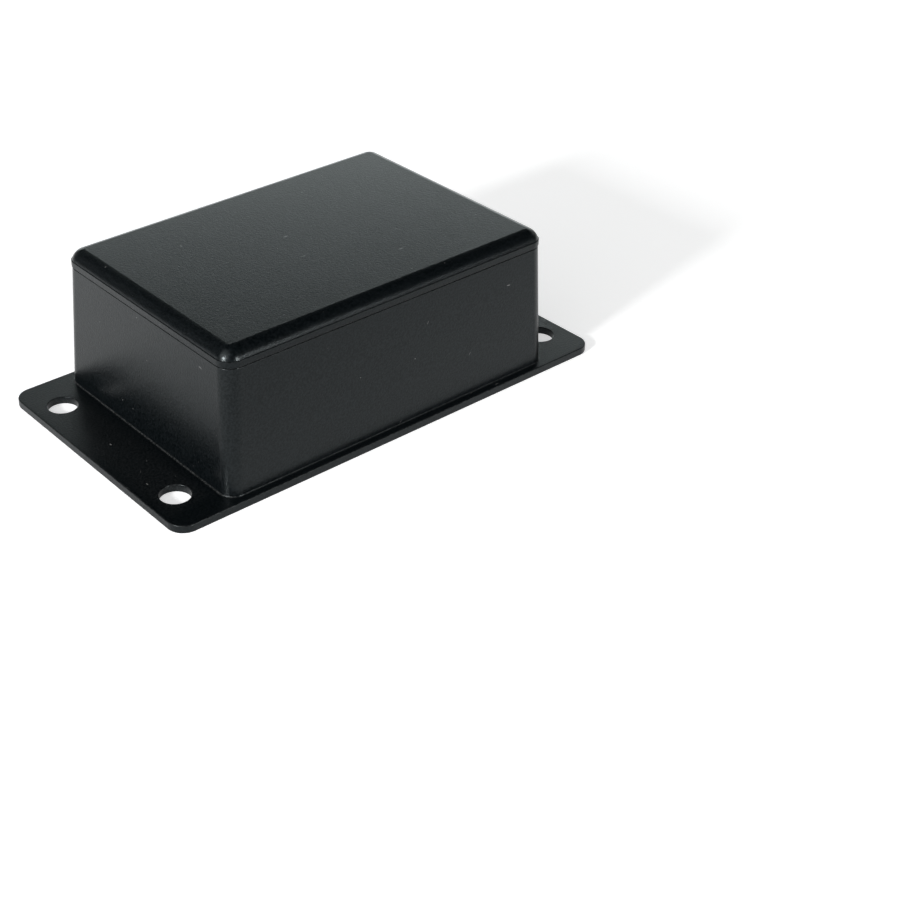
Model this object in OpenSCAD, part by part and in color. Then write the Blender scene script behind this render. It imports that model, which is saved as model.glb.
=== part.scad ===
// Small plastic project box, about 50 x 35 x 20 mm, with a mounting plate under it.
// Two mouldings: a drafted base with the plate moulded on, and a shallow lid that presses in.
// Millimetres. The origin is at the centre of the plate's underside, +X runs along the box and +Z is up.

/* [Base] */
// Length of the body where it meets the plate
body_l = 50; // [48:0.5:90]
// Width of the body where it meets the plate
body_w = 34.8; // [33:0.1:60]
// Height of the closed box, from the underside to the top of the lid
box_h = 19.6; // [16:0.1:40]
// Radius of the body's upright corners
corner_r = 1.95; // [1.8:0.05:4]
// Taper of the outside walls, in degrees, narrower at the top
outer_draft = 2.55; // [0:0.05:3]
// Radius of the fillet between the walls and the plate
foot_fillet = 0.3; // [0.1:0.05:0.6]
// Wall thickness at the rim
wall_t = 1.5; // [1.2:0.1:2.5]
// Thickness of the floor, from the underside of the plate
floor_t = 1.5; // [1.2:0.1:3]

/* [Cavity] */
// Taper of the inside walls, in degrees, wider at the top
inner_draft = 0.5; // [0:0.05:1]
// Radius of the cavity's upright corners
cavity_r = 1.2; // [1:0.1:3]
// Radius between the floor and the inside walls
floor_fillet = 0.7; // [0.3:0.05:0.9]

/* [Mounting plate] */
// How far each mounting ear reaches past the end of the body
ear_l = 7.7; // [6.5:0.1:12]
// Width of the ledge along the long sides of the body
ledge_w = 1; // [0.6:0.1:3]
// Thickness of the plate
plate_t = 1; // [0.8:0.1:1.2]
// Radius of the plate's corners
plate_r = 2.2; // [1:0.1:3.5]
// Diameter of the mounting holes
hole_d = 3.8; // [3:0.1:4.5]
// Distance from the end of the plate to the hole centres
hole_end = 3.7; // [3.2:0.1:4.2]
// Distance from the side of the plate to the hole centres
hole_side = 6.1; // [4:0.1:8]

/* [Lid] */
// Height of the lid that shows above the seam
lid_h = 2.31; // [2.2:0.01:4]
// Thickness of the lid's top
lid_t = 1.5; // [1.2:0.1:1.9]
// How far the top's rounded edge reaches in from the side
edge_in = 1.69; // [1:0.01:1.75]
// How far the rounded edge drops from the top
edge_drop = 1.4; // [0.8:0.05:1.6]
// How far the lid's edge stands proud of the wall under it
rim_proud = 0.08; // [0:0.01:0.3]
// Height of the narrow groove that shows at the seam
seam_gap = 0.12; // [0.08:0.01:0.3]
// Depth of that groove, in from the outside
seam_in = 0.6; // [0.3:0.05:0.9]

/* [Lid lip] */
// How far the lip reaches down into the base
lip_h = 2; // [1.8:0.1:4]
// Thickness of the lip
lip_t = 1; // [0.7:0.1:1.5]
// Gap between the lip and the walls of the cavity
lip_clear = 0.2; // [0.18:0.01:0.4]
// Lead-in chamfer round the bottom of the lip
lip_chamfer = 0.35; // [0.1:0.05:0.5]
// How far the snap beads stand out from the lip
bead_h = 0.15; // [0.05:0.01:0.16]
// Radius of a snap bead's section
bead_r = 0.4; // [0.3:0.05:0.5]
// Length of each snap bead
bead_l = 8; // [4:0.5:10]
// Distance from the seam down to the beads
bead_drop = 1; // [0.8:0.05:1.2]
// Distance of the long sides' beads from the middle of the box
bead_x = 12; // [8:0.5:14]
// Gap between a bead and the groove it sits in
bead_clear = 0.15; // [0.1:0.01:0.2]

/* [Board standoffs] */
// Distance between the standoffs along the box
board_dx = 35; // [28:0.5:36]
// Distance between the standoffs across the box
board_dy = 20; // [14:0.5:21]
// Height of the standoffs above the floor
standoff_h = 3; // [2:0.5:6]
// Diameter of a standoff at its top
standoff_d = 4.4; // [3.6:0.1:5]
// Taper of the standoffs, in degrees
standoff_draft = 1.5; // [0:0.1:3]
// Diameter of the pilot holes for the board screws
pilot_d = 2.2; // [1.6:0.1:2.6]
// Depth of the pilot holes
pilot_depth = 3.5; // [2:0.1:3.6]

/* [Card guides] */
// Distance of each card slot from the middle of the box
guide_x = 10; // [6:0.5:11]
// Width of a card slot
slot_w = 1.8; // [1:0.1:2.2]
// Thickness of each guide rib
guide_t = 0.8; // [0.6:0.1:1.2]
// How far the guide ribs stand out from the walls
guide_out = 1; // [0.6:0.1:1.8]
// Gap between the top of the ribs and the lid's lip
guide_gap = 0.8; // [0.4:0.1:3]

/* [Hidden] */

$fn = 64;
// Facets in each rounded corner, and in each rounded edge
corner_steps = 12;
edge_steps = 8;
// Depth by which joined shapes run into each other, and by which cutters run past a face
bite = 0.3;
abs_black = "#1c1d1f";

plate_l = body_l + 2 * ear_l;
plate_w = body_w + 2 * ledge_w;
hole_dx = plate_l - 2 * hole_end;
hole_dy = plate_w - 2 * hole_side;

seam_z = box_h - lid_h;
rim_l = body_l - 2 * (seam_z - plate_t) * tan(outer_draft);
rim_w = body_w - 2 * (seam_z - plate_t) * tan(outer_draft);
lid_l = rim_l + 2 * rim_proud;
lid_w = rim_w + 2 * rim_proud;
lid_r = corner_r + rim_proud;
ceiling_z = box_h - lid_t;
lip_z = seam_z - lip_h;
bead_z = seam_z - bead_drop;
lip_r = max(cavity_r - lip_clear, 0.2);
guide_top = lip_z - guide_gap;

// The rounded edge of the lid is an arc that meets the flat top and stops at a crease in the side
edge_arc_r = (edge_in * edge_in + edge_drop * edge_drop) / (2 * edge_drop);
edge_arc_end = asin(edge_in / edge_arc_r);

// How much each inside wall has moved in at height z, measured from the rim
function inner_taper(z) = (seam_z - z) * tan(inner_draft);
function cavity_l(z) = rim_l - 2 * wall_t - 2 * inner_taper(z);
function cavity_w(z) = rim_w - 2 * wall_t - 2 * inner_taper(z);

// Points of a rounded rectangle, anticlockwise
function outline(l, w, r) = [
    for (c = [[1, 1, 0], [-1, 1, 90], [-1, -1, 180], [1, -1, 270]])
        for (i = [0 : corner_steps])
            let (a = c[2] + 90 * i / corner_steps)
                [c[0] * (l / 2 - r) + r * cos(a), c[1] * (w / 2 - r) + r * sin(a)]
];

// Skin through rounded rectangles stacked from the bottom up, each [length, width, corner radius, z]
module loft(sections) {
    n = 4 * (corner_steps + 1);
    levels = len(sections);
    points = [
        for (s = sections)
            for (p = outline(s[0], s[1], s[2])) [p[0], p[1], s[3]]
    ];
    underside = [for (i = [0 : n - 1]) i];
    top = [for (i = [0 : n - 1]) levels * n - 1 - i];
    sides = [
        for (k = [0 : levels - 2])
            for (i = [0 : n - 1])
                let (a = k * n + i, b = k * n + (i + 1) % n)
                    for (face = [[a, a + n, b + n], [a, b + n, b]]) face
    ];
    polyhedron(points = points, faces = concat([underside], sides, [top]));
}

// One copy at each corner of a rectangle
module at_corners(dx, dy) {
    for (x = [-dx / 2, dx / 2])
        for (y = [-dy / 2, dy / 2])
            translate([x, y, 0]) children();
}

// One copy at the middle of each snap bead, turned so that its +X faces out through the wall
module at_beads() {
    for (side = [-1, 1]) {
        for (x = [-bead_x, bead_x])
            translate([x, side * (cavity_w(bead_z) / 2 - lip_clear), bead_z])
                rotate([0, 0, side * 90]) children();
        translate([side * (cavity_l(bead_z) / 2 - lip_clear), 0, bead_z])
            rotate([0, 0, 90 - side * 90]) children();
    }
}

// Round bar along the wall, whose middle stands bead_h out of the lip's face when r is bead_r
module bead_bar(r, l) {
    translate([bead_h - bead_r, 0, 0])
        rotate([90, 0, 0]) cylinder(r = r, h = l, center = true);
}

module body_outside() {
    fillet = [
        for (i = [0 : edge_steps / 2])
            let (a = 90 * i / (edge_steps / 2), grow = foot_fillet * (1 - sin(a)))
                [body_l + 2 * grow, body_w + 2 * grow, corner_r + grow,
                 plate_t + foot_fillet * (1 - cos(a))]
    ];
    root = fillet[0];
    loft(concat(
        [[root[0], root[1], root[2], plate_t / 2]],
        fillet,
        [[rim_l, rim_w, corner_r, seam_z]]
    ));
}

module cavity() {
    bowl = [
        for (i = [0 : edge_steps])
            let (a = 90 * i / edge_steps, z = floor_t + floor_fillet * (1 - cos(a)),
                 shrink = floor_fillet * (1 - sin(a)))
                [cavity_l(z) - 2 * shrink, cavity_w(z) - 2 * shrink, cavity_r - shrink, z]
    ];
    mouth_z = seam_z + bite;
    loft(concat(bowl, [[cavity_l(mouth_z), cavity_w(mouth_z), cavity_r, mouth_z]]));
}

module standoff() {
    foot_d = standoff_d + 2 * standoff_h * tan(standoff_draft);
    translate([0, 0, floor_t - bite])
        cylinder(d = foot_d, h = bite);
    translate([0, 0, floor_t])
        cylinder(d1 = foot_d, d2 = standoff_d, h = standoff_h);
}

// Upright rib on the +Y wall, with a slanted lead-in at the top
module guide_rib() {
    root_y = cavity_w(floor_t) / 2 + bite;
    tip_y = cavity_w(floor_t) / 2 - guide_out;
    rotate([90, 0, 90])
        linear_extrude(height = guide_t, center = true)
            polygon([
                [tip_y, floor_t - bite], [root_y, floor_t - bite],
                [root_y, guide_top], [tip_y + guide_out / 2, guide_top],
                [tip_y, guide_top - guide_out]
            ]);
}

module card_guides() {
    rib_x = (slot_w + guide_t) / 2;
    for (turn = [0, 180])
        rotate([0, 0, turn])
            for (slot = [-guide_x, guide_x])
                for (side = [-rib_x, rib_x])
                    translate([slot + side, 0, 0]) guide_rib();
}

module flanged_base() {
    color(abs_black)
    difference() {
        union() {
            difference() {
                union() {
                    linear_extrude(height = plate_t)
                        polygon(outline(plate_l, plate_w, plate_r));
                    body_outside();
                }
                cavity();
                at_beads() bead_bar(bead_r + bead_clear, bead_l + 2 * bead_clear);
            }
            at_corners(board_dx, board_dy) standoff();
            card_guides();
        }
        at_corners(hole_dx, hole_dy)
            translate([0, 0, -bite]) cylinder(d = hole_d, h = plate_t + 2 * bite);
        at_corners(board_dx, board_dy)
            translate([0, 0, floor_t + standoff_h - pilot_depth])
                cylinder(d = pilot_d, h = pilot_depth + bite);
    }
}

module lid_outside() {
    arc = [
        for (i = [edge_steps : -1 : 0])
            let (a = edge_arc_end * i / edge_steps,
                 inset = edge_in - edge_arc_r * sin(a),
                 drop = edge_arc_r * (1 - cos(a)))
                [lid_l - 2 * inset, lid_w - 2 * inset, max(lid_r - inset, 0.1), box_h - drop]
    ];
    loft(concat([[lid_l, lid_w, lid_r, seam_z + seam_gap]], arc));
}

// The step that rests on the rim of the base, inside the seam's groove
module lid_seat() {
    seat_r = max(corner_r - seam_in, 0.2);
    loft([
        [rim_l - 2 * seam_in, rim_w - 2 * seam_in, seat_r, seam_z],
        [rim_l - 2 * seam_in, rim_w - 2 * seam_in, seat_r, seam_z + seam_gap + bite]
    ]);
}

module lid_lip() {
    chamfer_z = lip_z + lip_chamfer;
    low_l = cavity_l(chamfer_z) - 2 * lip_clear;
    low_w = cavity_w(chamfer_z) - 2 * lip_clear;
    loft([
        [low_l - 2 * lip_chamfer, low_w - 2 * lip_chamfer, max(lip_r - lip_chamfer, 0.1), lip_z],
        [low_l, low_w, lip_r, chamfer_z],
        [cavity_l(seam_z) - 2 * lip_clear, cavity_w(seam_z) - 2 * lip_clear, lip_r, seam_z + bite]
    ]);
}

// The hollow under the lid's top, which is also the inside of the lip
module lid_hollow() {
    inside_l = cavity_l(seam_z) - 2 * (lip_clear + lip_t);
    inside_w = cavity_w(seam_z) - 2 * (lip_clear + lip_t);
    inside_r = max(lip_r - lip_t, 0.4);
    loft([
        [inside_l, inside_w, inside_r, lip_z - bite],
        [inside_l, inside_w, inside_r, ceiling_z]
    ]);
}

module lid() {
    color(abs_black)
    difference() {
        union() {
            lid_outside();
            lid_seat();
            lid_lip();
            at_beads() bead_bar(bead_r, bead_l);
        }
        lid_hollow();
    }
}

flanged_base();
lid();
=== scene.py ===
"""Looks for a small flanged project box in black ABS: a base with its mounting plate, and a press-in lid.

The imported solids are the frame. Both mouldings are rebuilt here as fine lofts through the same sections, so
that every edge has its small radius, and both take one procedural plastic. Lengths named in capitals are in
millimetres, as in the part's source, and MM turns them into metres. Materials, light and camera are in metres
and watts, but for the camera's two points.
"""

import math

import bmesh
import bpy
from mathutils import Matrix, Vector


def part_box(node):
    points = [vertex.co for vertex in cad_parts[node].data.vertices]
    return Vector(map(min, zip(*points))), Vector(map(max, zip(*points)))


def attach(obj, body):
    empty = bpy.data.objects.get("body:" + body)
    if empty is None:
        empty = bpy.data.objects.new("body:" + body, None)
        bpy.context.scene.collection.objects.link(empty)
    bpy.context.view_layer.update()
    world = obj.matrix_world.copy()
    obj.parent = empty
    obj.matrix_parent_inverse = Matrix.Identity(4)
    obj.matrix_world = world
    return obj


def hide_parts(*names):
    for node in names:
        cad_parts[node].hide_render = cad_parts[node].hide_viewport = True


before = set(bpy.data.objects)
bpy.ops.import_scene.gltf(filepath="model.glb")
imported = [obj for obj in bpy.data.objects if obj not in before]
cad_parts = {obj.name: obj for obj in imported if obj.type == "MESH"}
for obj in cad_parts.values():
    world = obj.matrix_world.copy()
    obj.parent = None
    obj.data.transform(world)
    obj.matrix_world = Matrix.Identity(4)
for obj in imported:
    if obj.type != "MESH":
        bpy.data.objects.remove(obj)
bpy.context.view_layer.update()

MM = 0.001


# ---------------------------------------------------------------- camera


# Where the straight edges in the photo put it: two points in millimetres, then degrees, lens and shift
CAMERA_AT = (-114.597, -147.480, 112.934)
CAMERA_AIM = (-1.544, -2.097, 3.615)
CAMERA_ROLL = 0.676
CAMERA_LENS = 68.16
CAMERA_SHIFT = (0.1568, -0.0987)


def make_camera():
    """The photo's view of the box, with the lens in millimetres and the shift in sensor widths."""
    data = bpy.data.cameras.new("camera")
    data.lens = CAMERA_LENS
    data.sensor_width = 36
    data.shift_x, data.shift_y = CAMERA_SHIFT
    data.clip_start = 0.01
    data.clip_end = 20
    camera = bpy.data.objects.new("camera", data)
    bpy.context.scene.collection.objects.link(camera)
    at = Vector(CAMERA_AT) * MM
    turn = (Vector(CAMERA_AIM) * MM - at).to_track_quat("-Z", "Y").to_matrix()
    roll = Matrix.Rotation(math.radians(-CAMERA_ROLL), 3, "Z")
    camera.matrix_world = Matrix.Translation(at) @ (turn @ roll).to_4x4()
    bpy.context.scene.camera = camera


make_camera()


# ---------------------------------------------------------------- sizes, in millimetres


base_low, base_high = (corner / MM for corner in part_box("flanged_base"))
lid_low, lid_high = (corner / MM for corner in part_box("lid"))

PLATE_L = base_high.x - base_low.x
PLATE_W = base_high.y - base_low.y
BOX_H = lid_high.z
SEAM_Z = base_high.z
LIP_Z = lid_low.z

EAR_L = 7.7
LEDGE_W = 1.0
PLATE_T = 1.0
PLATE_R = 2.2
HOLE_D = 3.8
HOLE_END = 3.7
HOLE_SIDE = 6.1

BODY_L = PLATE_L - 2 * EAR_L
BODY_W = PLATE_W - 2 * LEDGE_W
CORNER_R = 1.95
OUTER_DRAFT = math.radians(2.55)
WALL_T = 1.5
FLOOR_T = 1.5
INNER_DRAFT = math.radians(0.5)
CAVITY_R = 1.2
FLOOR_FILLET = 0.7

RIM_PROUD = 0.08
SEAM_GAP = 0.12
SEAM_IN = 0.6
LID_T = 1.5
EDGE_IN = 1.69
EDGE_DROP = 1.4
LIP_T = 1.0
LIP_CLEAR = 0.2
LIP_CHAMFER = 0.35
BEAD_H = 0.15
BEAD_R = 0.4
BEAD_L = 8.0
BEAD_DROP = 1.0
BEAD_X = 12.0
BEAD_CLEAR = 0.15

BOARD_DX = 35.0
BOARD_DY = 20.0
STANDOFF_H = 3.0
STANDOFF_D = 4.4
STANDOFF_DRAFT = math.radians(1.5)
PILOT_D = 2.2
PILOT_DEPTH = 3.5
GUIDE_X = 10.0
SLOT_W = 1.8
GUIDE_T = 0.8
GUIDE_OUT = 1.0
GUIDE_GAP = 0.8

# Radius at the foot of the wall, tighter than the solid's so that only a fine line catches the light
FOOT_FILLET = 0.15

# Degrees that the lid's rounding turns through, and the narrow step where it meets the lid's upright band
EDGE_BEND = 62
STEP_OUT = 0.11
STEP_DOWN = 0.06

# Small radii and chamfers that only this file has
EDGE_PLATE_TOP = 0.12
EDGE_PLATE_UNDER = 0.06
EDGE_RIM = 0.08
EDGE_HOLE = 0.1
EDGE_STANDOFF = 0.1
STANDOFF_FILLET = 0.3
STANDOFF_SWELL = 0.02  # just below its rounded top edge
PILOT_LEAD = 0.15
GUIDE_EDGE = 0.12
LIP_EDGE = 0.05
HOLLOW_R = 0.4
HOLLOW_FILLET = 0.25

# A strip this wide beside each small radius keeps the flat faces flat when shaded
HOLD = 0.03

# How far a cutter or an added rib reaches past the surface that it meets
PAST = 0.3

# Shorter edges than this are left over from a cut, and are closed
SLIVER = 0.002

# Steps in each quarter of a rounded corner, and the least radius that a corner keeps
CORNER_STEPS = 20
LEAST_R = 0.05

# Dust and painted highlight at the foot beside the long walls' narrow ledges, as a share of those on the ears
LEDGE_FOOT_SHARE = 0.3

# Degrees between two faces at which an edge begins to take the lighter grey of wear and painted highlight,
# and takes all of it
LIGHTER_EDGE_FROM, LIGHTER_EDGE_FULL = 6, 18

rim_shrink = 2 * (SEAM_Z - PLATE_T) * math.tan(OUTER_DRAFT)
RIM_L = BODY_L - rim_shrink
RIM_W = BODY_W - rim_shrink


def body_section(z):
    """Length, width and corner radius of the outside wall at height z."""
    shrink = 2 * (z - PLATE_T) * math.tan(OUTER_DRAFT)
    return BODY_L - shrink, BODY_W - shrink, CORNER_R


def cavity_section(z):
    """Length, width and corner radius of the inside wall at height z."""
    shrink = 2 * (WALL_T + (SEAM_Z - z) * math.tan(INNER_DRAFT))
    return RIM_L - shrink, RIM_W - shrink, CAVITY_R


def lip_section(z):
    """Length, width and corner radius of the outside of the lid's lip at height z."""
    l, w, r = cavity_section(z)
    return l - 2 * LIP_CLEAR, w - 2 * LIP_CLEAR, r - LIP_CLEAR


# ---------------------------------------------------------------- mesh helpers


def arc(start, end, steps):
    """Angles from start to end degrees, both included, in radians."""
    return [math.radians(start + (end - start) * i / steps) for i in range(steps + 1)]


def bend(middle, z, radius, start, end, steps):
    """Points on an arc about (middle, z), as pairs of distance and height, from start to end degrees."""
    return [(middle + radius * math.cos(a), z + radius * math.sin(a)) for a in arc(start, end, steps)]


def grown(section, grow, z):
    """A rounded rectangle's section moved outwards by grow, at height z."""
    l, w, r = section
    return l + 2 * grow, w + 2 * grow, max(r + grow, LEAST_R), z


def rounded(section, middle, z, radius, start, end, steps):
    """Sections round an edge, the section moved outwards as the arc about (middle, z) goes."""
    return [grown(section, grow, height) for grow, height in bend(middle, z, radius, start, end, steps)]


def outline(l, w, r, z):
    """Points of one rounded rectangle, anticlockwise from above."""
    points = []
    for sx, sy, start in ((1, 1, 0), (-1, 1, 90), (-1, -1, 180), (1, -1, 270)):
        for a in arc(start, start + 90, CORNER_STEPS):
            points.append(((sx * (l / 2 - r) + r * math.cos(a)) * MM,
                           (sy * (w / 2 - r) + r * math.sin(a)) * MM, z * MM))
    return points


def skin(bm, rings):
    """Quads between rings of equal length, with a face across the first and the last."""
    loops = [[bm.verts.new(p) for p in ring] for ring in rings]
    count = len(loops[0])
    for low, high in zip(loops, loops[1:]):
        for i in range(count):
            j = (i + 1) % count
            bm.faces.new((low[i], low[j], high[j], high[i]))
    bm.faces.new(list(reversed(loops[0])))
    bm.faces.new(loops[-1])


def lathe_rings(profile, x, y, steps=48):
    """Rings round an upright axis at (x, y), for (radius, z) pairs."""
    rings = []
    for radius, z in profile:
        rings.append([((x + radius * math.cos(2 * math.pi * i / steps)) * MM,
                       (y + radius * math.sin(2 * math.pi * i / steps)) * MM, z * MM)
                      for i in range(steps)])
    return rings


def new_object(name, bm):
    """An object in the scene with this mesh, its faces turned outwards."""
    bmesh.ops.recalc_face_normals(bm, faces=bm.faces)
    mesh = bpy.data.meshes.new(name)
    bm.to_mesh(mesh)
    bm.free()
    obj = bpy.data.objects.new(name, mesh)
    bpy.context.scene.collection.objects.link(obj)
    return obj


def loft_object(name, sections):
    """A closed solid through rounded rectangles."""
    bm = bmesh.new()
    skin(bm, [outline(*s) for s in sections])
    return new_object(name, bm)


def boolean(obj, operation, tool):
    """Adds or cuts tool, and removes it."""
    modifier = obj.modifiers.new("cut", "BOOLEAN")
    modifier.operation = operation
    modifier.solver = "EXACT"
    modifier.object = tool
    bpy.context.view_layer.update()
    evaluated = obj.evaluated_get(bpy.context.evaluated_depsgraph_get())
    mesh = bpy.data.meshes.new_from_object(evaluated)
    obj.modifiers.clear()
    obj.data = mesh
    bpy.data.objects.remove(tool)
    weld(mesh)


def weld(mesh):
    """Closes the slivers that a cut leaves, far thinner than any real edge."""
    bm = bmesh.new()
    bm.from_mesh(mesh)
    bmesh.ops.remove_doubles(bm, verts=bm.verts, dist=SLIVER * MM)
    bmesh.ops.holes_fill(bm, edges=[e for e in bm.edges if e.is_boundary], sides=4)
    bm.to_mesh(mesh)
    bm.free()


def finish_surface(obj):
    """Smooth shading that keeps real creases and flat faces."""
    for polygon in obj.data.polygons:
        polygon.use_smooth = True
    obj.data.set_sharp_from_angle(angle=math.radians(40))
    modifier = obj.modifiers.new("normals", "WEIGHTED_NORMAL")
    modifier.mode = "FACE_AREA"
    modifier.keep_sharp = True
    bpy.context.view_layer.update()
    evaluated = obj.evaluated_get(bpy.context.evaluated_depsgraph_get())
    mesh = bpy.data.meshes.new_from_object(evaluated)
    obj.modifiers.clear()
    obj.data = mesh
    mark_edges(mesh)


def mark_edges(mesh):
    """Point values, up to one on outward edges and nought elsewhere, where handling wears the plastic and a
    highlight is painted.
    """
    bm = bmesh.new()
    bm.from_mesh(mesh)
    worn_and_lit = [0.0] * len(bm.verts)
    for e in bm.edges:
        if len(e.link_faces) == 2 and e.is_convex:
            turn = math.degrees(e.calc_face_angle(0))
            lighter = (turn - LIGHTER_EDGE_FROM) / (LIGHTER_EDGE_FULL - LIGHTER_EDGE_FROM)
            for v in e.verts:
                worn_and_lit[v.index] = max(worn_and_lit[v.index], min(1, max(0, lighter)))
    bm.free()
    values = mesh.attributes.new("edge", "FLOAT", "POINT")
    values.data.foreach_set("value", worn_and_lit)


def mark_foot(mesh):
    """Point values in the fillet at the foot of the outside walls, where dust settles and a highlight line is
    painted.
    """
    foot_low, foot_high = (PLATE_T + SLIVER) * MM, (PLATE_T + FOOT_FILLET + HOLD / 2) * MM
    ear_from = (BODY_L - CORNER_R) / 2 * MM
    values = mesh.attributes.new("foot", "FLOAT", "POINT")
    for v in mesh.vertices:
        if foot_low < v.co.z < foot_high:
            values.data[v.index].value = 1 if abs(v.co.x) > ear_from else LEDGE_FOOT_SHARE


def at_corners(dx, dy):
    """The corners of a rectangle about the middle."""
    return [(sx * dx / 2, sy * dy / 2) for sx in (-1, 1) for sy in (-1, 1)]


# ---------------------------------------------------------------- base


def base_sections():
    """Sections of the base from the underside, up the outside, over the rim and down to the floor."""
    plate = (PLATE_L, PLATE_W, PLATE_R)
    under, top = EDGE_PLATE_UNDER, EDGE_PLATE_TOP
    sections = [grown(plate, -1, 0), grown(plate, -under - HOLD, 0)]
    sections += rounded(plate, -under, under, under, -90, 0, 4)
    sections += [grown(plate, 0, under + HOLD), grown(plate, 0, PLATE_T - top - HOLD)]
    sections += rounded(plate, -top, PLATE_T - top, top, 0, 90, 5)
    sections.append(grown(plate, -top - HOLD, PLATE_T))

    foot = body_section(PLATE_T)
    foot_end = math.degrees(OUTER_DRAFT) - 180
    sections.append(grown(foot, FOOT_FILLET + HOLD, PLATE_T))
    sections += rounded(foot, FOOT_FILLET, PLATE_T + FOOT_FILLET, FOOT_FILLET, -90, foot_end, 6)
    for z in (PLATE_T + FOOT_FILLET + HOLD, SEAM_Z - EDGE_RIM - HOLD):
        sections.append(grown(body_section(z), 0, z))

    rim_out = body_section(SEAM_Z)
    rim_in = cavity_section(SEAM_Z)
    sections += rounded(rim_out, -EDGE_RIM, SEAM_Z - EDGE_RIM, EDGE_RIM, 0, 90, 4)
    sections.append(grown(rim_out, -EDGE_RIM - HOLD, SEAM_Z))
    sections.append(grown(rim_in, EDGE_RIM + HOLD, SEAM_Z))
    sections += rounded(rim_in, EDGE_RIM, SEAM_Z - EDGE_RIM, EDGE_RIM, 90, 180, 4)

    for z in (SEAM_Z - EDGE_RIM - HOLD, FLOOR_T + FLOOR_FILLET + HOLD):
        sections.append(grown(cavity_section(z), 0, z))
    for a in arc(90, 0, 10):
        z = FLOOR_T + FLOOR_FILLET * (1 - math.cos(a))
        sections.append(grown(cavity_section(z), FLOOR_FILLET * (math.sin(a) - 1), z))
    sections.append(grown(cavity_section(FLOOR_T), -FLOOR_FILLET - HOLD, FLOOR_T))
    return sections


def standoff_rings(x, y):
    """A drafted boss with a small fillet at the floor and a rounded top edge."""
    fillet, edge = STANDOFF_FILLET, EDGE_STANDOFF
    top_r = STANDOFF_D / 2
    top_z = FLOOR_T + STANDOFF_H
    foot_r = top_r + STANDOFF_H * math.tan(STANDOFF_DRAFT)
    profile = [(foot_r + fillet, FLOOR_T - PAST)]
    profile += bend(foot_r + fillet, FLOOR_T + fillet, fillet, -90, -180, 6)
    profile.append((top_r + STANDOFF_SWELL, top_z - edge - HOLD))
    profile += bend(top_r - edge, top_z - edge, edge, 0, 90, 4)
    return lathe_rings(profile, x, y)


def hole_rings(x, y):
    """Cutter for a mounting hole whose rims are slightly rounded."""
    edge = EDGE_HOLE
    wide_r = HOLE_D / 2 + edge
    profile = [(wide_r, -PAST)]
    profile += bend(wide_r, edge, edge, -90, -180, 4)
    profile += bend(wide_r, PLATE_T - edge, edge, 180, 90, 4)
    profile.append((wide_r, PLATE_T + PAST))
    return lathe_rings(profile, x, y, steps=72)


def pilot_rings(x, y):
    """Cutter for a blind pilot hole with a small lead-in."""
    r, lead = PILOT_D / 2, PILOT_LEAD
    top_z = FLOOR_T + STANDOFF_H
    profile = [(r, top_z - PILOT_DEPTH), (r, top_z - lead), (r + lead, top_z), (r + lead, top_z + PAST)]
    return lathe_rings(profile, x, y, steps=40)


def guide_rib(bm, x, turn):
    """One upright card guide rib on a long wall, with rounded tip edges."""
    root_y = cavity_section(FLOOR_T)[1] / 2 + PAST
    tip_y = cavity_section(FLOOR_T)[1] / 2 - GUIDE_OUT
    top_z = LIP_Z - GUIDE_GAP
    side = [(tip_y, FLOOR_T - PAST), (root_y, FLOOR_T - PAST), (root_y, top_z),
            (tip_y + GUIDE_OUT / 2, top_z), (tip_y, top_z - GUIDE_OUT)]
    part = bmesh.new()
    near = [part.verts.new(((x - GUIDE_T / 2) * MM, y * MM, z * MM)) for y, z in side]
    far = [part.verts.new(((x + GUIDE_T / 2) * MM, y * MM, z * MM)) for y, z in side]
    part.faces.new(list(reversed(near)))
    part.faces.new(far)
    for i in range(len(side)):
        j = (i + 1) % len(side)
        part.faces.new((near[i], near[j], far[j], far[i]))
    inside_y = (root_y - PAST / 2) * MM
    edges = [e for e in part.edges if min(v.co.y for v in e.verts) < inside_y
             and max(v.co.z for v in e.verts) > FLOOR_T * MM]
    bmesh.ops.bevel(part, geom=edges, offset=GUIDE_EDGE * MM, segments=3, profile=0.5, affect="EDGES")
    bmesh.ops.triangulate(part, faces=part.faces)
    part.transform(Matrix.Rotation(turn, 4, "Z"))
    scratch = bpy.data.meshes.new("rib")
    part.to_mesh(scratch)
    part.free()
    bm.from_mesh(scratch)
    bpy.data.meshes.remove(scratch)


def bead_bars(bm, r, l):
    """Round-ended bars along the lip at every snap bead, r and l being their radius and length."""
    bead_z = SEAM_Z - BEAD_DROP
    wall_l, wall_w, _ = cavity_section(bead_z)
    out = BEAD_H - BEAD_R - LIP_CLEAR
    places = []
    for side in (-1, 1):
        places += [(x, side * (wall_w / 2 + out), 0) for x in (-BEAD_X, BEAD_X)]
        places.append((side * (wall_l / 2 + out), 0, math.pi / 2))

    far_end = bend(l / 2 - r, 0, r, 90, 5, 6)
    profile = [(-along, radius) for along, radius in reversed(far_end)] + far_end
    for x, y, turn in places:
        place = Matrix.Translation((x, y, bead_z)) @ Matrix.Rotation(turn, 4, "Z")
        rings = [[(place @ Vector((along, radius * math.cos(a), radius * math.sin(a)))) * MM
                  for a in arc(0, 360, 32)[:-1]] for along, radius in profile]
        skin(bm, rings)


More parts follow.
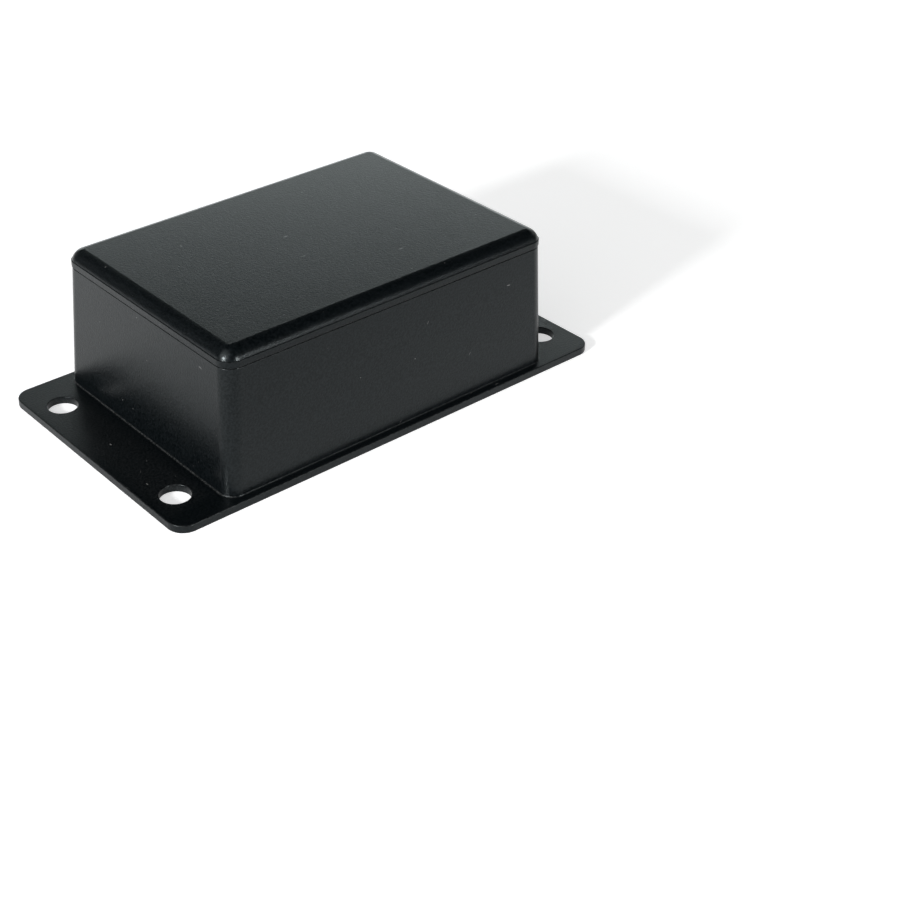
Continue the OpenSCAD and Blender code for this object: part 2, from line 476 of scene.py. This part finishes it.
def make_base():
    """The base: its shell, then the snap grooves, the standoffs and card guides, and the holes."""
    base = loft_object("base_moulding", base_sections())

    grooves = bmesh.new()
    bead_bars(grooves, BEAD_R + BEAD_CLEAR, BEAD_L + 2 * BEAD_CLEAR)
    boolean(base, "DIFFERENCE", new_object("grooves", grooves))

    added = bmesh.new()
    for x, y in at_corners(BOARD_DX, BOARD_DY):
        skin(added, standoff_rings(x, y))
    for turn in (0, math.pi):
        for slot in (-GUIDE_X, GUIDE_X):
            for side in (-1, 1):
                guide_rib(added, slot + side * (SLOT_W + GUIDE_T) / 2, turn)
    boolean(base, "UNION", new_object("added", added))

    holes = bmesh.new()
    for x, y in at_corners(PLATE_L - 2 * HOLE_END, PLATE_W - 2 * HOLE_SIDE):
        skin(holes, hole_rings(x, y))
    for x, y in at_corners(BOARD_DX, BOARD_DY):
        skin(holes, pilot_rings(x, y))
    boolean(base, "DIFFERENCE", new_object("holes", holes))
    finish_surface(base)
    mark_foot(base.data)
    return base


# ---------------------------------------------------------------- lid


def lid_sections():
    """Sections of the lid from the middle of its top, down the outside, round the lip and up inside."""
    lid = (RIM_L + 2 * RIM_PROUD, RIM_W + 2 * RIM_PROUD, CORNER_R + RIM_PROUD)
    arc_in, arc_drop = EDGE_IN - STEP_OUT, EDGE_DROP - STEP_DOWN
    arc_r = math.hypot(arc_in, arc_drop) / (2 * math.sin(math.radians(EDGE_BEND / 2)))
    chord = math.degrees(math.atan2(arc_in, arc_drop))
    start, end = chord + EDGE_BEND / 2, chord - EDGE_BEND / 2
    middle = -EDGE_IN - arc_r * math.cos(math.radians(start))
    middle_z = BOX_H - arc_r * math.sin(math.radians(start))
    sections = [grown(lid, -EDGE_IN - 1, BOX_H), grown(lid, -EDGE_IN - HOLD, BOX_H)]
    sections += rounded(lid, middle, middle_z, arc_r, start, end, 16)

    crease_z = BOX_H - EDGE_DROP
    edge_z = SEAM_Z + SEAM_GAP
    sections += [grown(lid, 0, z) for z in (crease_z, crease_z - HOLD, edge_z + EDGE_RIM + HOLD)]
    sections += rounded(lid, -EDGE_RIM, edge_z + EDGE_RIM, EDGE_RIM, 0, -90, 4)
    rim = (RIM_L, RIM_W, CORNER_R)
    sections += [grown(rim, -SEAM_IN, z) for z in (edge_z, SEAM_Z)]

    chamfer_z = LIP_Z + LIP_CHAMFER
    foot = lip_section(chamfer_z)
    sections += [grown(lip_section(SEAM_Z), grow, SEAM_Z) for grow in (HOLD, 0)]
    sections.append(grown(lip_section(SEAM_Z - HOLD), 0, SEAM_Z - HOLD))
    sections += [grown(foot, 0, z) for z in (chamfer_z + HOLD, chamfer_z)]
    sections += [grown(foot, -LIP_CHAMFER - inwards, LIP_Z) for inwards in (0, HOLD)]

    lip_l, lip_w, _ = lip_section(SEAM_Z)
    hollow = (lip_l - 2 * LIP_T, lip_w - 2 * LIP_T, HOLLOW_R)
    ceiling_z = BOX_H - LID_T
    sections += [grown(hollow, LIP_EDGE + outwards, LIP_Z) for outwards in (HOLD, 0)]
    sections.append(grown(hollow, 0, LIP_Z + LIP_EDGE))
    sections += rounded(hollow, -HOLLOW_FILLET, ceiling_z - HOLLOW_FILLET, HOLLOW_FILLET, 0, 90, 5)
    sections.append(grown(hollow, -HOLLOW_FILLET - 1, ceiling_z))
    return sections


def make_lid():
    """The lid: its shell with the lip, and the snap beads."""
    lid = loft_object("lid_moulding", lid_sections())
    beads = bmesh.new()
    bead_bars(beads, BEAD_R, BEAD_L)
    boolean(lid, "UNION", new_object("beads", beads))
    finish_surface(lid)
    return lid


# ---------------------------------------------------------------- materials


# The spark-eroded grain: cells to the metre, and its depth in metres
GRAIN_SCALE = 4000
GRAIN_DEPTH = 0.000024

# Threads of dust, and pits: cells to the metre, how many times longer than wide, the turn of their length in
# radians, and their width as a share of a cell
THREADS = (
    (520, 8, (0, 0.12, -0.1), 0.035),
    (680, 7, (0, -1.0, 0.08), 0.035),
    (350, 5, (0, -0.3, 1.7), 0.03),
)
PITS = (420, 2.5, (0.4, 0.8, 0.3), 0.05)
PIT_DEPTH = 0.5  # as a share of the grain's
WANDER = 0.0003  # metres, the most that a thread strays from a straight line

# Cells to the metre: of that straying, of the patches that hold threads, and of the slow changes in gloss
WANDER_SCALE = 500
PATCH_SCALE = 160
CLOUD_SCALE = 90

# Colours in the grain's hollows and on its tops, of worn edges with their painted highlight, of dust and the
# foot's painted highlight line, of reflections, and the roughness
HOLLOW_BLACK = (0.0002, 0.0010, 0.0014, 1)
TOP_BLACK = (0.0056, 0.0074, 0.0086, 1)
WORN_AND_HIGHLIGHT_GREY = (0.05, 0.05, 0.05, 1)
DUST_AND_HIGHLIGHT_GREY = (0.42, 0.42, 0.41, 1)
REFLECTION_TINT = (0.89, 0.98, 1, 1)
ROUGH_LEAST, ROUGH_MOST = 0.28, 0.31

# How much of each shows at most
DUST = 0.5
FOOT_DUST_AND_HIGHLIGHT = 0.08
EDGE_WEAR_AND_HIGHLIGHT = 0.35


def add_node(tree, kind, inputs, **settings):
    """A new shader node; each input, by its name or number, takes a value or a link from a socket."""
    node = tree.nodes.new(kind)
    for name, value in settings.items():
        setattr(node, name, value)
    for socket, source in inputs.items():
        if isinstance(source, bpy.types.NodeSocket):
            tree.links.new(source, node.inputs[socket])
        else:
            node.inputs[socket].default_value = source
    return node


def spread(tree, source, low, high, out_low, out_high):
    """The source's values from low to high, drawn out to other values and cut off there."""
    ends = {"From Min": low, "From Max": high, "To Min": out_low, "To Max": out_high}
    return add_node(tree, "ShaderNodeMapRange", {"Value": source, **ends}).outputs["Result"]


def combined(tree, operation, *values):
    """Arithmetic on sockets and numbers, with the result kept between nought and one."""
    values = dict(enumerate(values))
    return add_node(tree, "ShaderNodeMath", values, operation=operation, use_clamp=True).outputs[0]


def mixed(tree, amount, first, second):
    """The first colour turning into the second as the amount goes from nought to one."""
    colours = {0: amount, 6: first, 7: second}
    return add_node(tree, "ShaderNodeMix", colours, data_type="RGBA").outputs[2]


def marked(tree, name):
    """The values that the mesh's points carry under this name."""
    return add_node(tree, "ShaderNodeAttribute", {}, attribute_name=name).outputs["Fac"]


def noise(tree, place, scale, detail, roughness=0.5):
    """Noise with so many cells to the metre."""
    inputs = {"Vector": place, "Scale": scale, "Detail": detail, "Roughness": roughness}
    return add_node(tree, "ShaderNodeTexNoise", inputs).outputs


def fibres(tree, place, scale, stretch, turn, width):
    """Short thin threads, where the surface happens to cut the middles of long cells."""
    lay = {"Vector": place, "Rotation": turn, "Scale": (stretch, 1, 1)}
    lay = add_node(tree, "ShaderNodeMapping", lay, vector_type="TEXTURE").outputs[0]
    cells = add_node(tree, "ShaderNodeTexVoronoi", {"Vector": lay, "Scale": scale})
    return spread(tree, cells.outputs["Distance"], 0.6 * width, width, 1, 0)


def black_plastic(name, seed):
    """Moulded black ABS with a fine spark-eroded grain, dust, and worn edges that also carry a painted
    highlight.
    """
    material = bpy.data.materials.new(name)
    material.use_nodes = True
    tree = material.node_tree
    shader = tree.nodes["Principled BSDF"].inputs
    shader["IOR"].default_value = 1.4
    shader["Specular IOR Level"].default_value = 0.5
    shader["Specular Tint"].default_value = REFLECTION_TINT

    place = {0: add_node(tree, "ShaderNodeTexCoord", {}).outputs["Object"], 1: (seed, seed * 0.7, seed * 0.3)}
    place = add_node(tree, "ShaderNodeVectorMath", place, operation="ADD").outputs[0]
    grain = noise(tree, place, GRAIN_SCALE, 3, 0.6)["Fac"]
    cloud = noise(tree, place, CLOUD_SCALE, 4)["Fac"]
    patch = noise(tree, place, PATCH_SCALE, 3)["Fac"]
    bent = {0: WANDER, 1: place, 2: noise(tree, place, WANDER_SCALE, 1)["Color"]}
    bent = add_node(tree, "ShaderNodeMixRGB", bent, blend_type="ADD").outputs[0]

    # Threads of dust come in patches, and the dust and painted highlight line at the foot and the wear and
    # painted highlight on the edges are speckled by the grain
    threads = 0
    for thread in THREADS:
        threads = combined(tree, "MAXIMUM", threads, fibres(tree, bent, *thread))
    threads = combined(tree, "MULTIPLY", threads, spread(tree, patch, 0.42, 0.56, 0, DUST))
    speckle = spread(tree, grain, 0.4, 0.62, 0.1, 1)
    # The foot's fillet turns light grey: dust, and a painted highlight line, stronger on the ears than beside
    # the long walls
    foot = combined(tree, "MULTIPLY", speckle, FOOT_DUST_AND_HIGHLIGHT)
    foot = combined(tree, "MULTIPLY", marked(tree, "foot"), foot)
    # Outward edges turn lighter grey: wear, and a painted highlight along the lid's crease and the other
    # edges
    worn_and_lit = combined(tree, "MULTIPLY", marked(tree, "edge"), speckle)
    worn_and_lit = combined(tree, "MULTIPLY", worn_and_lit, EDGE_WEAR_AND_HIGHLIGHT)

    colour = mixed(tree, spread(tree, grain, 0.4, 0.6, 0, 1), HOLLOW_BLACK, TOP_BLACK)
    colour = mixed(tree, worn_and_lit, colour, WORN_AND_HIGHLIGHT_GREY)
    colour = mixed(tree, combined(tree, "MAXIMUM", threads, foot), colour, DUST_AND_HIGHLIGHT_GREY)
    tree.links.new(colour, shader["Base Color"])

    roughness = spread(tree, cloud, 0.3, 0.7, ROUGH_LEAST, ROUGH_MOST)
    tree.links.new(roughness, shader["Roughness"])

    pits = combined(tree, "MULTIPLY", fibres(tree, bent, *PITS), PIT_DEPTH)
    height = {"Strength": 1, "Distance": GRAIN_DEPTH, "Height": combined(tree, "SUBTRACT", grain, pits)}
    bump = add_node(tree, "ShaderNodeBump", height)
    tree.links.new(bump.outputs["Normal"], shader["Normal"])
    return material


base = make_base()
base.data.materials.append(black_plastic("base_black_abs", 0.0))
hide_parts("flanged_base")
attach(base, "base")

lid = make_lid()
lid.data.materials.append(black_plastic("lid_black_abs", 0.5))
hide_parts("lid")
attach(lid, "cover")


# ---------------------------------------------------------------- stage and light


WHITE = (1, 1, 1, 1)
FLOOR_HALF = 2.0
FLOOR_DROP = 0.02  # millimetres, below the box's underside
FLOOR_GREY = (0.8, 0.8, 0.8, 1)

# The floor's own glow: what the camera sees of it at two distances from the box's middle, and between them
GLOW_NEAR, GLOW_FAR = 0.6, 1.0
NEAR, FAR = 0.1, 0.4

# What reflections see of it: backwards along this direction it grows from nothing to the last value
BACKWARDS = (0.376, 0.926, 0)
MIRRORED_FROM, MIRRORED_TO = -0.056, 0.06
GLOW_MIRRORED = 0.8

# The world's light on everything, while the camera sees the world as white
ROOM_LIGHT = 0.005

# Azimuth and elevation in degrees, width and height, power and colour of each lamp. Azimuth 0 is in front of
# the long wall, and 90 is off its right end.
LAMP_DISTANCE = 0.6
NEUTRAL = (1, 1, 1)
COOL = (0.92, 1, 1)
LAMPS = {
    # From the left: light on both near walls, the shadow, and a bright dot at the lid's near corner
    "left_softbox": (-82, 42, (0.6, 0.6), 1.3, NEUTRAL),
    "left_spot": (-79, 21, (0.06, 0.06), 3.0, NEUTRAL),
    # From the front: more on the long wall, a second dot, and the streak along the lid's long edge
    "front_spot": (11, 13, (0.03, 0.03), 1.4, NEUTRAL),
    "front_strip": (32, 15, (0.12, 0.03), 0.12, NEUTRAL),
    # From behind: the sheen on the lid's top
    "back_softbox": (142, 11.5, (0.7, 0.126), 0.97, COOL),
    "back_high": (142, 20.5, (0.7, 0.052), 0.16, COOL),
    # Faint glints along the lid's left edge and down its right corner
    "back_left": (-165, 18, (0.35, 0.126), 0.06, NEUTRAL),
    "back_right": (95, 18, (0.35, 0.126), 0.13, NEUTRAL),
}


def make_floor():
    """A pale floor that the camera sees as white, keeping the box's shadow near it."""
    bm = bmesh.new()
    bmesh.ops.create_grid(bm, x_segments=1, y_segments=1, size=FLOOR_HALF)
    floor = new_object("floor", bm)
    floor.location.z = -FLOOR_DROP * MM
    material = bpy.data.materials.new("pale_floor")
    material.use_nodes = True
    tree = material.node_tree
    shader = tree.nodes["Principled BSDF"]
    shader.inputs["Base Color"].default_value = FLOOR_GREY
    shader.inputs["Roughness"].default_value = 0.9
    shader.inputs["Specular IOR Level"].default_value = 0

    rays = add_node(tree, "ShaderNodeLightPath", {}).outputs
    place = add_node(tree, "ShaderNodeTexCoord", {}).outputs["Object"]
    away = add_node(tree, "ShaderNodeVectorMath", {0: place}, operation="LENGTH").outputs["Value"]
    behind = {0: place, 1: BACKWARDS}
    behind = add_node(tree, "ShaderNodeVectorMath", behind, operation="DOT_PRODUCT").outputs["Value"]

    seen = spread(tree, away, NEAR, FAR, GLOW_NEAR, GLOW_FAR)
    reflected = spread(tree, behind, MIRRORED_FROM, MIRRORED_TO, 0, GLOW_MIRRORED)
    reflecting = combined(tree, "MAXIMUM", rays["Is Glossy Ray"], rays["Is Transmission Ray"])
    reflected = combined(tree, "MULTIPLY", reflecting, reflected)
    amount = combined(tree, "MULTIPLY_ADD", rays["Is Camera Ray"], seen, reflected)
    glow = add_node(tree, "ShaderNodeEmission", {"Color": WHITE, "Strength": amount})
    both = add_node(tree, "ShaderNodeAddShader", {0: shader.outputs[0], 1: glow.outputs[0]})
    tree.links.new(both.outputs[0], tree.nodes["Material Output"].inputs["Surface"])
    floor.data.materials.append(material)


def soft_lamp(name, azimuth, elevation, size, power, colour):
    """A rectangular lamp facing the box."""
    data = bpy.data.lights.new(name, "AREA")
    data.shape = "RECTANGLE"
    data.size, data.size_y = size
    data.energy = power
    data.color = colour
    lamp = bpy.data.objects.new(name, data)
    lamp.visible_camera = False
    bpy.context.scene.collection.objects.link(lamp)
    turn, tilt = math.radians(azimuth), math.radians(elevation)
    away = Vector((math.sin(turn) * math.cos(tilt), -math.cos(turn) * math.cos(tilt), math.sin(tilt)))
    middle = Vector((0, 0, BOX_H / 2 * MM))
    facing = away.to_track_quat("Z", "Y").to_matrix().to_4x4()
    lamp.matrix_world = Matrix.Translation(middle + away * LAMP_DISTANCE) @ facing


def make_world():
    """White to the camera, and nearly dark to everything else."""
    world = bpy.data.worlds.new("studio")
    bpy.context.scene.world = world
    world.use_nodes = True
    tree = world.node_tree
    white = tree.nodes["Background"]
    white.inputs["Color"].default_value = WHITE
    white.inputs["Strength"].default_value = 1
    room = add_node(tree, "ShaderNodeBackground", {"Color": WHITE, "Strength": ROOM_LIGHT})
    camera_ray = add_node(tree, "ShaderNodeLightPath", {}).outputs["Is Camera Ray"]
    mix = add_node(tree, "ShaderNodeMixShader", {0: camera_ray, 1: room.outputs[0], 2: white.outputs[0]})
    tree.links.new(mix.outputs[0], tree.nodes["World Output"].inputs["Surface"])


make_floor()
make_world()
for lamp_name, settings in LAMPS.items():
    soft_lamp(lamp_name, *settings)

bpy.context.scene.view_settings.view_transform = "Standard"
